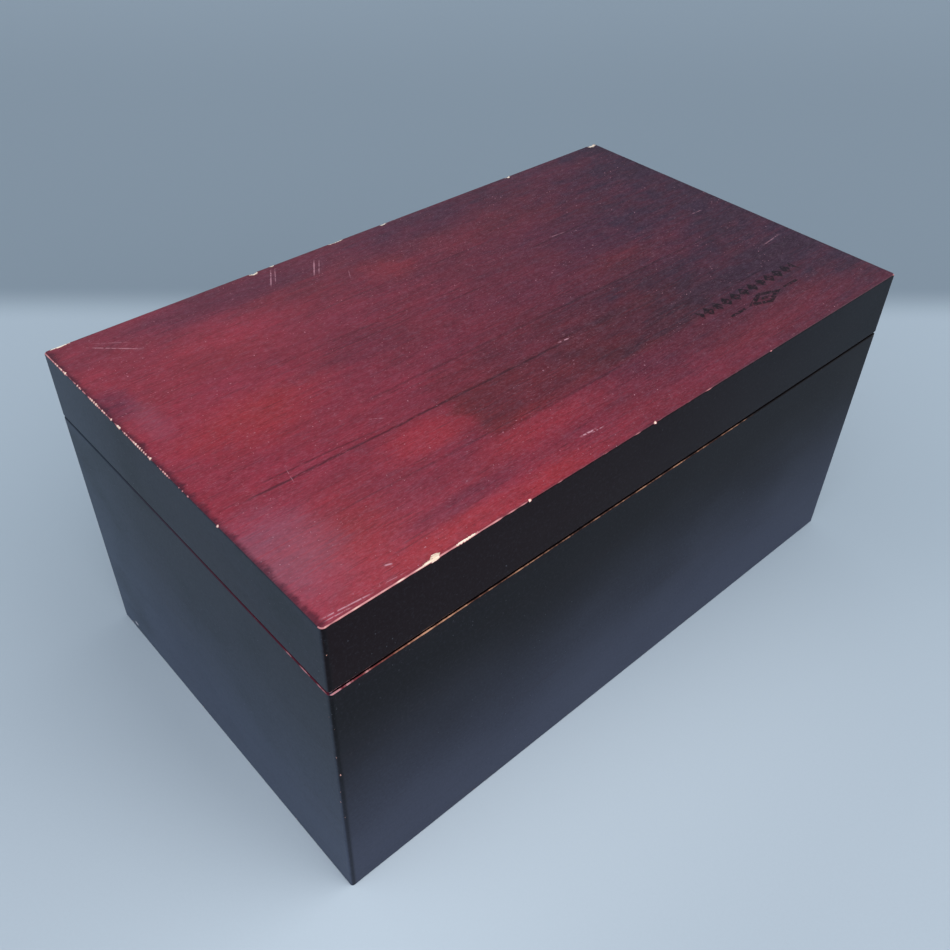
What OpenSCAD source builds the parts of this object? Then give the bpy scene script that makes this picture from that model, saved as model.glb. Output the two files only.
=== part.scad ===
// Archival box: a mitred timber base and a hinged lid with a flush top panel.
// The origin is the middle of the underside, +X runs along the length,
// -Y is the front, the hinges are on the +Y side, and +Z is up. Sizes are in millimetres.

/* [Box] */
// Outside length, left to right
box_width = 307; // [200:1:400]
// Outside depth, front to back, without the hinge barrels
box_depth = 180; // [120:1:260]
// Outside height with the lid shut
box_height = 150; // [90:1:240]
// Height of the lid, from its lower edge to the top face
lid_height = 29.6; // [26:0.1:50]
// Air between the base rim and the lid
seam_gap = 1.2; // [0.8:0.1:2]

/* [Timber] */
// Thickness of the base walls and lid rails
wall = 9; // [8.5:0.5:14]
// Thickness of the lid panel's lip, which lies on the rails
panel_lip = 4; // [3:0.5:6]
// How far the lid panel drops between the rails
panel_drop = 3; // [1:0.5:4]
// Thickness of the bottom panel
bottom_thickness = 5; // [3:0.5:7]
// Width of the rebate that holds the bottom panel
rebate_width = 5; // [2:0.5:6]
// Rounding of the upright corners
corner_radius = 1.6; // [0.5:0.1:3]
// Rounding of the lid's top edge and the base's bottom edge
arris_radius = 0.7; // [0.3:0.1:2]
// Rounding of the edges that face the seam
rim_radius = 0.5; // [0.2:0.1:1]

/* [Corner tongues] */
// Thickness of the loose tongue glued across each mitre
tongue_thickness = 2.5; // [1.5:0.1:3]
// Width of a tongue, across the mitre
tongue_width = 6; // [3:0.1:7]
// Solid timber left above and below a tongue
tongue_margin = 5; // [3:0.5:8]

/* [Soft parts] */
// Thickness of the felt linings
felt_thickness = 1.5; // [1:0.1:3]
// Space between a lining and the walls around it
felt_margin = 0.5; // [0.2:0.1:2]
// Diameter of the felt dots on the rim
dot_diameter = 5.5; // [4:0.1:7]
// Distance of the dots from the ends and the front of the box
dot_inset = 4.5; // [4.2:0.1:6]
// Air left over a dot so that the shut lid rests without squeezing it
dot_air = 0.05; // [0.02:0.01:0.2]

/* [Hinges] */
// Distance from each end of the box to the middle of its hinge
hinge_inset = 50; // [35:1:80]
// Length of a hinge, along its pin
hinge_length = 38; // [30:0.5:50]
// Thickness of each hinge leaf, let in flush with the timber
leaf_thickness = 3; // [2.5:0.1:3.4]
// How far a leaf reaches in over the rim
leaf_reach = 7; // [6:0.5:8]
// Distance of the pin's axis behind the back face
pin_setback = 2; // [1.6:0.1:2.4]
// Outside diameter of the barrel
barrel_diameter = 4.8; // [4.2:0.1:5]
// Diameter of the hinge pin
pin_diameter = 2; // [1.5:0.1:2.4]
// Radial clearance between the pin and the lid leaf's knuckles
pin_clearance = 0.05; // [0.02:0.01:0.1]
// Clearance between one leaf's knuckles and the other leaf
knuckle_clearance = 0.15; // [0.1:0.01:0.3]
// Clearance left between the stop heels when the lid is fully open
heel_clearance = 0.04; // [0.02:0.01:0.1]
// Angle at which the two leaves' heels meet and stop the lid
stop_angle = 95; // [90:1:100]

/* [Hinge screws] */
// Diameter of a screw's shank
screw_diameter = 2.2; // [1.8:0.1:2.6]
// Diameter of a screw's countersunk head
screw_head_diameter = 4; // [3.4:0.1:4.6]
// Overall length of a screw
screw_length = 12; // [8:0.5:14]
// Width of the driver slot
slot_width = 0.6; // [0.4:0.1:0.8]
// Depth of the driver slot
slot_depth = 0.5; // [0.3:0.1:0.7]

/* [Hidden] */
$fn = 48;
half_width = box_width / 2;
half_depth = box_depth / 2;
lid_bottom = box_height - lid_height;
base_top = lid_bottom - seam_gap;
rail_top = box_height - panel_lip;
inner_width = box_width - 2 * wall;
inner_depth = box_depth - 2 * wall;
seam_middle = (base_top + lid_bottom) / 2;
// Cutting tools run past the surface they cut by this much
past = 1;
// Two leaves of a hinge: three knuckles on the base leaf, two on the lid leaf
knuckles = 5;
screws_per_leaf = 3;
barrel_radius = barrel_diameter / 2;
pin_radius = pin_diameter / 2;
pin_y = half_depth + pin_setback;
hinge_x = half_width - hinge_inset;
screw_y = half_depth - leaf_reach / 2;
screw_spacing = hinge_length / screws_per_leaf;
screw_tip_length = screw_diameter;
screw_tip_diameter = 0.4;
head_height = (screw_head_diameter - screw_diameter) / 2;
// Where a mitre's tongue is centred, a little inside the middle of the mitre
tongue_centre = wall / 2 + 0.3;
wood_black = [0.13, 0.13, 0.16];
wood_red = [0.47, 0.14, 0.18];
wood_pale = [0.72, 0.55, 0.36];
felt_colour = [0.10, 0.10, 0.11];
brass = [0.72, 0.58, 0.32];
steel = [0.62, 0.62, 0.60];

base_front_wall();
base_back_wall();
base_left_wall();
base_right_wall();
base_corner_tongues();
bottom_panel();
bottom_lining();
rim_dots();
lid_panel();
lid_front_rail();
lid_back_rail();
lid_left_rail();
lid_right_rail();
lid_corner_tongues();
lid_lining();
left_hinge_base_leaf();
left_hinge_lid_leaf();
left_hinge_pin();
right_hinge_base_leaf();
right_hinge_lid_leaf();
right_hinge_pin();
base_hinge_screws();
lid_hinge_screws();

// ---- Rounded outlines ----

// What a rounded corner loses, for a corner at the origin with material towards +X and +Y
module corner_waste(radius) {
  difference() {
    translate([-past, -past]) square(past + radius);
    translate([radius, radius]) circle(radius);
  }
}

// Rectangle from the origin; corners are low-left, low-right, high-right, high-left radii
module rounded_rectangle(size, corners) {
  places = [[0, 0], [size[0], 0], size, [0, size[1]]];
  difference() {
    square(size);
    for (i = [0:3])
      if (corners[i] > 0)
        translate(places[i]) rotate(90 * i) corner_waste(corners[i]);
  }
}

// The box's outline seen from above
module box_outline() {
  translate([-half_width, -half_depth])
    rounded_rectangle([box_width, box_depth], [for (i = [0:3]) corner_radius]);
}

// ---- Mitred boards ----

// Plan of a board `length` long whose outer face is `reach` from the middle, on the -Y side
module mitred_plan(length, reach) {
  inner = length / 2 - wall;
  intersection() {
    polygon([
      [-length / 2, -reach], [length / 2, -reach], [inner, wall - reach], [-inner, wall - reach]
    ]);
    translate([-length / 2, -reach])
      rounded_rectangle([length, 2 * reach], [for (i = [0:3]) corner_radius]);
  }
}

// Board with mitred ends; corners are the radii of its section, from the low outer edge round
module board(length, reach, bottom, top, corners) {
  intersection() {
    translate([0, 0, bottom]) linear_extrude(top - bottom) mitred_plan(length, reach);
    translate([-length / 2, -reach, bottom])
      rotate([90, 0, 90])
        linear_extrude(length) rounded_rectangle([wall, top - bottom], corners);
  }
}

module base_board(length, reach) {
  board(length, reach, 0, base_top, [arris_radius, 0, rim_radius, rim_radius]);
}

module lid_board(length, reach) {
  board(length, reach, lid_bottom, rail_top, [rim_radius, rim_radius, 0, 0]);
}

// ---- Joints between the timber pieces ----

// Loose tongues across the four mitres, from one height to another
module tongues(low, high) {
  for (x = [-1, 1], y = [-1, 1])
    translate([x * (half_width - tongue_centre), y * (half_depth - tongue_centre), (low + high) / 2])
      rotate(-x * y * 45)
        cube([tongue_width, tongue_thickness, high - low], center = true);
}

module base_tongue_shape() {
  tongues(bottom_thickness + tongue_margin, base_top - tongue_margin);
}

module lid_tongue_shape() {
  tongues(lid_bottom + tongue_margin, rail_top - tongue_margin);
}

module bottom_panel_shape() {
  size = [inner_width + 2 * rebate_width, inner_depth + 2 * rebate_width, bottom_thickness];
  translate([-size[0] / 2, -size[1] / 2, 0]) cube(size);
}

// ---- Hinges ----

// Width of the knuckle with this number, and where it starts along the hinge
function knuckle_width() = hinge_length / knuckles;
function knuckle_start(i) = -hinge_length / 2 + i * knuckle_width();
// Even knuckles belong to the base leaf and odd ones to the lid leaf
function is_lid_knuckle(i) = i % 2 == 1;

// Cylinder along the hinge's axis
module along_hinge(start, length, radius) {
  translate([start, 0, 0]) rotate([0, 90, 0]) cylinder(r = radius, h = length);
}

// Section of the base leaf about the pin's axis, with its stop heel behind the pin
module leaf_section() {
  slope = tan(90 - stop_angle / 2);
  top = seam_gap / 2;
  low = top + leaf_thickness;
  polygon([
    [-pin_setback - leaf_reach, -top],
    [top * slope - heel_clearance, -top],
    [low * slope - heel_clearance, -low],
    [-pin_setback - leaf_reach, -low]
  ]);
}

module leaf_plate() {
  translate([-hinge_length / 2, 0, 0])
    rotate([90, 0, 90]) linear_extrude(hinge_length) leaf_section();
}

// One leaf about its own axis. Lid leaves are this shape turned over.
module leaf(for_lid) {
  bore_radius = for_lid ? pin_radius + pin_clearance : pin_radius;
  side = knuckle_clearance / 2;
  difference() {
    union() {
      difference() {
        leaf_plate();
        for (i = [0:knuckles - 1])
          if (is_lid_knuckle(i) != for_lid)
            along_hinge(knuckle_start(i) - side, knuckle_width() + 2 * side,
              barrel_radius + knuckle_clearance);
      }
      for (i = [0:knuckles - 1])
        if (is_lid_knuckle(i) == for_lid)
          along_hinge(knuckle_start(i) + side, knuckle_width() - 2 * side, barrel_radius);
    }
    along_hinge(-hinge_length / 2 - past, hinge_length + 2 * past, bore_radius);
    translate([0, screw_y - pin_y, -seam_gap / 2]) screw_row();
  }
}

module base_leaf() {
  color(brass) translate([0, pin_y, seam_middle]) leaf(false);
}

module lid_leaf() {
  color(brass) translate([0, pin_y, seam_middle]) mirror([0, 0, 1]) leaf(true);
}

module hinge_pin() {
  color(steel) translate([0, pin_y, seam_middle])
    along_hinge(-hinge_length / 2, hinge_length, pin_radius);
}

// Pocket in the rim for a leaf, open at the back
module leaf_pocket() {
  translate([-hinge_length / 2, half_depth - leaf_reach, base_top - leaf_thickness])
    cube([hinge_length, leaf_reach + past, leaf_thickness + past]);
}

// Countersunk screw with its head's face at the origin, pointing down
module screw() {
  shank = screw_length - screw_tip_length - head_height;
  translate([0, 0, -head_height])
    cylinder(d1 = screw_diameter, d2 = screw_head_diameter, h = head_height);
  translate([0, 0, -head_height - shank]) cylinder(d = screw_diameter, h = shank);
  translate([0, 0, -screw_length])
    cylinder(d1 = screw_tip_diameter, d2 = screw_diameter, h = screw_tip_length);
}

module screw_row() {
  for (i = [0:screws_per_leaf - 1])
    translate([(i - (screws_per_leaf - 1) / 2) * screw_spacing, 0, 0]) screw();
}

// A screw's driver slot
module driver_slot() {
  translate([-screw_head_diameter, -slot_width / 2, -slot_depth])
    cube([2 * screw_head_diameter, slot_width, slot_depth + past]);
}

module slotted_row() {
  for (i = [0:screws_per_leaf - 1])
    translate([(i - (screws_per_leaf - 1) / 2) * screw_spacing, 0, 0])
      difference() {
        screw();
        rotate(20 + 50 * i) driver_slot();
      }
}

// Puts its children at both hinges
module at_hinges() {
  for (side = [-1, 1]) translate([side * hinge_x, 0, 0]) children();
}

// Turns a shape that fits the base rim over, so that it fits the lid
module turned_to_lid() {
  translate([0, 0, 2 * seam_middle]) mirror([0, 0, 1]) children();
}

// Everything cut out of the base's back wall for the hinges
module hinge_cuts() {
  at_hinges() {
    leaf_pocket();
    translate([0, screw_y, base_top]) screw_row();
  }
}

// ---- Base ----

module base_front_wall() {
  color(wood_black) difference() {
    base_board(box_width, half_depth);
    bottom_panel_shape();
    base_tongue_shape();
  }
}

module base_back_wall() {
  color(wood_black) difference() {
    rotate(180) base_board(box_width, half_depth);
    bottom_panel_shape();
    base_tongue_shape();
    hinge_cuts();
  }
}

module base_left_wall() {
  color(wood_black) difference() {
    rotate(-90) base_board(box_depth, half_width);
    bottom_panel_shape();
    base_tongue_shape();
  }
}

module base_right_wall() {
  color(wood_black) difference() {
    rotate(90) base_board(box_depth, half_width);
    bottom_panel_shape();
    base_tongue_shape();
  }
}

module base_corner_tongues() {
  color(wood_pale) base_tongue_shape();
}

module bottom_panel() {
  color(wood_pale) bottom_panel_shape();
}

module felt_sheet() {
  size = [inner_width - 2 * felt_margin, inner_depth - 2 * felt_margin, felt_thickness];
  translate([-size[0] / 2, -size[1] / 2, 0]) cube(size);
}

module bottom_lining() {
  color(felt_colour) translate([0, 0, bottom_thickness]) felt_sheet();
}

// Felt dots at the front corners, which keep the lid off the rim
module rim_dots() {
  color(felt_colour)
    for (side = [-1, 1])
      translate([side * (half_width - dot_inset), dot_inset - half_depth, base_top])
        cylinder(d = dot_diameter, h = seam_gap - dot_air);
}

// ---- Lid ----

module lid_panel() {
  color(wood_red) union() {
    intersection() {
      translate([0, 0, rail_top]) linear_extrude(panel_lip) box_outline();
      translate([-half_width, half_depth, rail_top])
        rotate([90, 0, 0]) linear_extrude(box_depth)
          rounded_rectangle([box_width, panel_lip], [0, 0, arris_radius, arris_radius]);
      translate([-half_width, -half_depth, rail_top])
        rotate([90, 0, 90]) linear_extrude(box_width)
          rounded_rectangle([box_depth, panel_lip], [0, 0, arris_radius, arris_radius]);
    }
    translate([-inner_width / 2, -inner_depth / 2, rail_top - panel_drop])
      cube([inner_width, inner_depth, panel_drop]);
  }
}

module lid_front_rail() {
  color(wood_black) difference() {
    lid_board(box_width, half_depth);
    lid_tongue_shape();
  }
}

module lid_back_rail() {
  color(wood_black) difference() {
    rotate(180) lid_board(box_width, half_depth);
    lid_tongue_shape();
    turned_to_lid() hinge_cuts();
  }
}

module lid_left_rail() {
  color(wood_black) difference() {
    rotate(-90) lid_board(box_depth, half_width);
    lid_tongue_shape();
  }
}

module lid_right_rail() {
  color(wood_black) difference() {
    rotate(90) lid_board(box_depth, half_width);
    lid_tongue_shape();
  }
}

module lid_corner_tongues() {
  color(wood_pale) lid_tongue_shape();
}

module lid_lining() {
  color(felt_colour) translate([0, 0, rail_top - panel_drop - felt_thickness]) felt_sheet();
}

// ---- Hinge pieces ----

module left_hinge_base_leaf() {
  translate([-hinge_x, 0, 0]) base_leaf();
}

module left_hinge_lid_leaf() {
  translate([-hinge_x, 0, 0]) lid_leaf();
}

module left_hinge_pin() {
  translate([-hinge_x, 0, 0]) hinge_pin();
}

module right_hinge_base_leaf() {
  translate([hinge_x, 0, 0]) base_leaf();
}

module right_hinge_lid_leaf() {
  translate([hinge_x, 0, 0]) lid_leaf();
}

module right_hinge_pin() {
  translate([hinge_x, 0, 0]) hinge_pin();
}

module base_hinge_screws() {
  color(brass) at_hinges() translate([0, screw_y, base_top]) slotted_row();
}

module lid_hinge_screws() {
  color(brass) turned_to_lid() at_hinges() translate([0, screw_y, base_top]) slotted_row();
}
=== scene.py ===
"""Looks of the archival box: worn red-stained top, black lacquered sides, felt, brass hinges.

Lengths inside materials and mesh code are in millimetres in the box's own frame: the origin is
the middle of the underside, +X runs to the right, -Y is the front and +Z is up.
"""

import bpy
import math
import random

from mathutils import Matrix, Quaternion, Vector


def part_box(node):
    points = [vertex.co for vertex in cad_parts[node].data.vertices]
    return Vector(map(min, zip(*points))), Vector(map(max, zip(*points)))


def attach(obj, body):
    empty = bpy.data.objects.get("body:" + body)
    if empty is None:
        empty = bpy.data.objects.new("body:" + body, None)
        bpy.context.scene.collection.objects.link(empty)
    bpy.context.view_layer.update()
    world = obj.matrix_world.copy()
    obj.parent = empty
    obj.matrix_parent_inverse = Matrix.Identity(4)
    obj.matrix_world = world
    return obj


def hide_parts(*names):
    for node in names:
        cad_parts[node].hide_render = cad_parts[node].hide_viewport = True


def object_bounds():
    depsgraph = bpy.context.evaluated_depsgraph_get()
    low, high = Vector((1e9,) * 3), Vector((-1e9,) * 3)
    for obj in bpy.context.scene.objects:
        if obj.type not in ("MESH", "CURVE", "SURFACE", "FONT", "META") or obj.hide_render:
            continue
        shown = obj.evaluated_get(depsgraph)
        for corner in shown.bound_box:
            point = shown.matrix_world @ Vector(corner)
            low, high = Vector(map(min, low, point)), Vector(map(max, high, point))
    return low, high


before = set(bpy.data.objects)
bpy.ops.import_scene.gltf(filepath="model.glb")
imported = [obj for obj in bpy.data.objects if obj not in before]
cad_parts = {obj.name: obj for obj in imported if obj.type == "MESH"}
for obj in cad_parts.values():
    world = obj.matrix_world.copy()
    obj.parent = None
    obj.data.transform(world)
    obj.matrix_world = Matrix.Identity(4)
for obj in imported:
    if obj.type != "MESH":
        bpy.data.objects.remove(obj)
frame_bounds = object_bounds()

# ---- Measurements taken from the frame ----

MM = 0.001
# Close enough to two pi for the phases of random waves
FULL_TURN = 6.28


def node_box(node):
    """A CAD node's lowest and highest corner, in millimetres."""
    low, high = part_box(node)
    return low / MM, high / MM


panel_low, panel_high = node_box("lid_panel")
front_wall_low, front_wall_high = node_box("base_front_wall")
front_rail_low, front_rail_high = node_box("lid_front_rail")

HALF_WIDTH = panel_high.x
HALF_DEPTH = panel_high.y
TOP = panel_high.z
BASE_TOP = front_wall_high.z
LID_BOTTOM = front_rail_low.z
RAIL_TOP = front_rail_high.z
PANEL_UNDERSIDE = panel_low.z
WALL = front_wall_high.y - front_wall_low.y

# ---- Material building ----


class Field:
    """A number that varies over a surface. Arithmetic on fields makes shader nodes."""

    def __init__(self, shader, socket):
        self.shader = shader
        self.socket = socket

    def __add__(self, other):
        return self.shader.math("ADD", self, other)

    def __radd__(self, other):
        return self.shader.math("ADD", other, self)

    def __sub__(self, other):
        return self.shader.math("SUBTRACT", self, other)

    def __rsub__(self, other):
        return self.shader.math("SUBTRACT", other, self)

    def __mul__(self, other):
        return self.shader.math("MULTIPLY", self, other)

    def __truediv__(self, other):
        return self.shader.math("DIVIDE", self, other)

    def __abs__(self):
        return self.shader.math("ABSOLUTE", self)

    def least(self, other):
        return self.shader.math("MINIMUM", self, other)

    def most(self, other):
        return self.shader.math("MAXIMUM", self, other)

    def wrapped(self):
        """The part after the decimal point, from 0 to 1."""
        return self.shader.math("FRACT", self)

    def rise(self, start, end):
        """0 before start, 1 after end, and a smooth change between them."""
        return self.shader.map_range(self, start, end, 0.0, 1.0)

    def fall(self, start, end):
        """1 before start, 0 after end, and a smooth change between them."""
        return self.shader.map_range(self, start, end, 1.0, 0.0)


class Shader:
    """A material under construction. Its methods add nodes and return what comes out of them."""

    def __init__(self, name):
        self.material = bpy.data.materials.new(name)
        self.material.use_nodes = True
        self.tree = self.material.node_tree
        self.tree.nodes.clear()

    def node(self, kind, **settings):
        made = self.tree.nodes.new(kind)
        for key, value in settings.items():
            setattr(made, key, value)
        return made

    def feed(self, socket, value):
        """Connects a field or a socket to an input, or sets the input to a plain value."""
        if isinstance(value, Field):
            value = value.socket
        if isinstance(value, bpy.types.NodeSocket):
            self.tree.links.new(value, socket)
        else:
            socket.default_value = value

    def math(self, operation, first, second=None):
        made = self.node("ShaderNodeMath", operation=operation)
        self.feed(made.inputs[0], first)
        if second is not None:
            self.feed(made.inputs[1], second)
        return Field(self, made.outputs[0])

    def map_range(self, value, start, end, low, high):
        made = self.node("ShaderNodeMapRange", interpolation_type="SMOOTHSTEP")
        if start > end:
            start, end, low, high = end, start, high, low
        for name, number in (
            ("Value", value),
            ("From Min", start),
            ("From Max", end),
            ("To Min", low),
            ("To Max", high),
        ):
            self.feed(made.inputs[name], number)
        return Field(self, made.outputs["Result"])

    def place(self):
        """Position on the object, in millimetres, as three fields."""
        coordinates = self.node("ShaderNodeTexCoord")
        split = self.node("ShaderNodeSeparateXYZ")
        self.tree.links.new(coordinates.outputs["Object"], split.inputs[0])
        return [Field(self, split.outputs[i]) / MM for i in range(3)]

    def noise(self, x, y, z=0.0, detail=3.0, roughness=0.5, distortion=0.0):
        """Smooth random field, about 0 to 1, with features about one unit of its arguments."""
        join = self.node("ShaderNodeCombineXYZ")
        for socket, value in zip(join.inputs, (x, y, z)):
            self.feed(socket, value)
        made = self.node("ShaderNodeTexNoise")
        self.tree.links.new(join.outputs[0], made.inputs["Vector"])
        made.inputs["Scale"].default_value = 1.0
        made.inputs["Detail"].default_value = detail
        made.inputs["Roughness"].default_value = roughness
        made.inputs["Distortion"].default_value = distortion
        return Field(self, made.outputs["Fac"])

    def attribute(self, name):
        """A number stored on the mesh, or 0 where the mesh has none of that name."""
        made = self.node("ShaderNodeAttribute", attribute_name=name)
        return Field(self, made.outputs["Fac"])

    def mix(self, first, second, share):
        """A colour that is the first at share 0 and the second at share 1."""
        made = self.node("ShaderNodeMix", data_type="RGBA")
        made.clamp_factor = True
        self.feed(made.inputs[0], share)
        self.feed(made.inputs[6], first)
        self.feed(made.inputs[7], second)
        return made.outputs[2]

    def blend(self, first, second, share):
        """A number that is the first at share 0 and the second at share 1."""
        made = self.node("ShaderNodeMix", data_type="FLOAT")
        made.clamp_factor = True
        self.feed(made.inputs[0], share)
        self.feed(made.inputs[2], first)
        self.feed(made.inputs[3], second)
        return Field(self, made.outputs[0])

    def surface(self, colour, roughness, height=None, metallic=0.0, sheen=0.0, specular=0.5):
        """Finishes the material. Height is in millimetres."""
        principled = self.node("ShaderNodeBsdfPrincipled")
        self.feed(principled.inputs["Base Color"], colour)
        self.feed(principled.inputs["Roughness"], roughness)
        self.feed(principled.inputs["Metallic"], metallic)
        self.feed(principled.inputs["Specular IOR Level"], specular)
        self.feed(principled.inputs["Sheen Weight"], sheen)
        if height is not None:
            bump = self.node("ShaderNodeBump")
            bump.inputs["Strength"].default_value = 1.0
            bump.inputs["Distance"].default_value = MM
            self.feed(bump.inputs["Height"], height)
            self.tree.links.new(bump.outputs["Normal"], principled.inputs["Normal"])
        output = self.node("ShaderNodeOutputMaterial")
        self.tree.links.new(principled.outputs["BSDF"], output.inputs["Surface"])
        return self.material


def rgb(red, green, blue):
    """A linear colour from the 0 to 255 numbers that a colour picker shows."""

    def linear(channel):
        share = channel / 255
        return share / 12.92 if share <= 0.04045 else ((share + 0.055) / 1.055) ** 2.4

    return (linear(red), linear(green), linear(blue), 1.0)


# ---- Timber finishes ----

BARE_WOOD = rgb(246, 228, 206)
BARE_WOOD_DARK = rgb(226, 190, 162)
# Worn stain at an edge, partly real wear and partly a painted highlight along the arris
STAINED_EDGE_AND_HIGHLIGHT = rgb(198, 126, 126)


def grain(shader, along, across, other):
    """Fine streaks and pores that run along a board, each a field from about 0 to 1."""
    streaks = shader.noise(along * 0.03, across * 1.1, other * 0.2, detail=5.0, roughness=0.62)
    figure = shader.noise(along * 0.009, across * 0.16, other * 0.05, detail=3.0, distortion=0.4)
    pores = shader.noise(along * 0.22, across * 4.5, other * 0.5, detail=2.0, roughness=0.6)
    return streaks, figure, pores.rise(0.60, 0.74)


def ellipse(shader, x, y, middle, half_size, wobble):
    """1 in the middle of a soft-edged patch and 0 outside it."""
    dx = (x - middle[0]) / half_size[0]
    dy = (y - middle[1]) / half_size[1]
    radius = shader.math("SQRT", dx * dx + dy * dy)
    return (radius + (wobble - 0.5) * 0.9).fall(0.25, 1.15)


def line(x, y, start, end, width, wobble=None):
    """1 along a straight scratch or crack from start to end and 0 beside it."""
    direction = Vector(end) - Vector(start)
    length = direction.length
    along_x, along_y = direction.x / length, direction.y / length
    dx, dy = x - start[0], y - start[1]
    along = dx * along_x + dy * along_y
    off = dy * along_x - dx * along_y
    if wobble is not None:
        off = off + wobble
    taper = min(length * 0.3, 12.0)
    inside = along.rise(0.0, taper) * along.fall(length - taper, length)
    return abs(off).fall(width * 0.3, width) * inside


# Cloudy patches of the stain: middle, half size, change in darkness, change towards orange
STAIN_PATCHES = (
    ((-117.0, 4.0), (34.0, 20.0), -0.12, 0.30),
    ((-76.0, -43.0), (24.0, 13.0), -0.20, 0.25),
    ((-38.0, -64.0), (42.0, 10.0), -0.22, 0.22),
    ((-128.0, -64.0), (26.0, 22.0), -0.10, 0.25),
    ((-88.0, -87.0), (70.0, 8.0), -0.16, 0.35),
    ((-15.0, 57.0), (16.0, 12.0), -0.08, 0.25),
    ((-90.0, 54.0), (34.0, 16.0), -0.10, 0.05),
    ((46.0, 56.0), (60.0, 20.0), -0.06, 0.15),
    ((74.0, -4.0), (40.0, 12.0), -0.06, 0.15),
    ((92.0, -76.0), (70.0, 12.0), -0.08, 0.10),
    ((-91.0, -76.0), (32.0, 5.0), 0.20, -0.2),
    ((-57.0, 14.0), (26.0, 14.0), 0.10, -0.1),
    ((-84.0, 80.0), (60.0, 12.0), 0.14, -0.3),
    ((84.0, 18.0), (36.0, 18.0), 0.07, -0.4),
    ((20.0, 80.0), (46.0, 12.0), 0.08, -0.4),
    ((40.0, -24.0), (90.0, 12.0), 0.12, 0.1),
    ((100.0, -44.0), (60.0, 12.0), 0.14, 0.1),
    ((-149.0, 42.0), (9.0, 12.0), 0.26, -0.5),
)

# Dark lines along the grain: start, end, width, strength
GRAIN_LINES = (
    ((-146.0, -31.0), (8.0, -33.4), 0.90, 0.58),
    ((-138.0, -26.5), (-84.0, -29.5), 0.60, 0.45),
    ((-84.0, -13.5), (124.0, -15.5), 1.00, 0.34),
    ((62.0, -49.0), (116.0, -50.0), 0.60, 0.45),
    ((-128.0, -54.0), (-20.0, -57.0), 0.60, 0.30),
    ((-62.0, -58.0), (14.0, -58.8), 1.00, 0.34),
    ((-100.0, 20.0), (30.0, 18.0), 0.70, 0.26),
    ((-96.0, 26.0), (-22.0, 24.6), 1.20, 0.28),
    ((40.0, 29.0), (98.0, 30.0), 0.80, 0.38),
    ((-60.0, 47.0), (52.0, 45.5), 0.90, 0.20),
)

# Pale scratches: start, end, width, strength
SCRATCHES = (
    ((-62.0, 74.0), (-53.0, 88.0), 0.30, 0.8),
    ((-59.0, 75.0), (-51.0, 88.0), 0.24, 0.6),
    ((-43.0, 70.0), (-34.0, 83.0), 0.34, 0.8),
    ((-40.5, 70.0), (-32.0, 82.0), 0.24, 0.6),
    ((-32.0, 59.0), (-28.0, 66.0), 0.20, 0.5),
    ((-142.0, 84.0), (-122.0, 66.0), 0.28, 0.8),
    ((-138.0, 84.0), (-124.0, 74.0), 0.20, 0.5),
    ((-36.0, -78.0), (-27.0, -78.6), 0.50, 1.0),
    ((-31.0, -79.2), (-24.0, -79.4), 0.30, 0.7),
    ((0.0, -32.0), (9.0, -32.8), 0.50, 0.9),
    ((58.0, 31.0), (70.0, 30.0), 0.30, 0.5),
    ((127.0, 4.0), (137.0, 3.4), 0.40, 0.4),
    ((128.0, -37.0), (146.0, -35.0), 0.50, 0.35),
    ((-122.0, -26.0), (-124.0, -34.0), 0.20, 0.5),
    ((-86.0, -22.0), (-80.0, -26.0), 0.24, 0.5),
    ((-125.0, -82.0), (-122.0, -83.0), 0.50, 0.9),
    ((-153.0, -86.6), (-132.0, -88.6), 0.36, 0.9),
    ((-152.0, -88.0), (-141.0, -88.9), 0.30, 0.8),
    ((-136.0, -87.2), (-120.0, -88.4), 0.22, 0.5),
)

# Places where the finish has flaked off the top beside an edge: middle and half size
FLAKES = (
    ((-61.0, 88.9), (2.4, 1.5)),
    ((-51.5, 89.4), (1.4, 0.7)),
    ((-18.0, 89.5), (5.2, 0.9)),
    ((9.0, 89.3), (2.2, 1.0)),
    ((88.5, 89.2), (2.0, 1.1)),
    ((150.0, 88.6), (3.0, 1.7)),
    ((-110.6, -88.9), (2.2, 1.1)),
    ((-113.4, -89.5), (3.0, 0.5)),
    ((-99.0, -89.6), (6.0, 0.34)),
    ((-147.0, 89.4), (5.0, 0.8)),
)


def strongest(fields):
    """The largest of several fields at every point."""
    result = fields[0]
    for field in fields[1:]:
        result = result.most(field)
    return result


def stain_strength(shader, x, y, streaks, figure, cloud, mottle):
    """How dark the stain is, from 0 for bright red to 1 for purple brown, and how orange."""
    darkness = (x + 134.0) * 0.0031 + 0.12 + x.fall(-150.0, -90.0) * 0.06
    darkness = darkness + y.rise(46.0, 84.0) * x.fall(-20.0, 120.0) * 0.16
    darkness = darkness - y.fall(-84.0, -60.0) * 0.20
    heart = (x + (mottle - 0.5) * 20.0).rise(-62.0, -53.0) * x.fall(40.0, 110.0)
    upper_limit = y.fall(-34.0, -28.0) * 0.65 + y.fall(-20.0, -10.0) * 0.35
    band = y.rise(-60.0, -55.0) * upper_limit * heart
    darkness = darkness + band * 0.22
    warmth = (cloud - 0.5) * 1.0 + band * 0.45
    for middle, half_size, darker, warmer in STAIN_PATCHES:
        patch = ellipse(shader, x, y, middle, half_size, mottle)
        darkness = darkness + patch * darker
        warmth = warmth + patch * warmer
    blotches = shader.noise(x * 0.05, y * 0.10, 21.0, detail=3.0, roughness=0.6, distortion=0.6)
    darkness = darkness + (cloud - 0.5) * 0.34 + (figure - 0.5) * 0.20 + (mottle - 0.5) * 0.40
    darkness = darkness + (blotches - 0.5) * 0.34 + (streaks - 0.5) * 0.46
    return darkness, warmth


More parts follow.
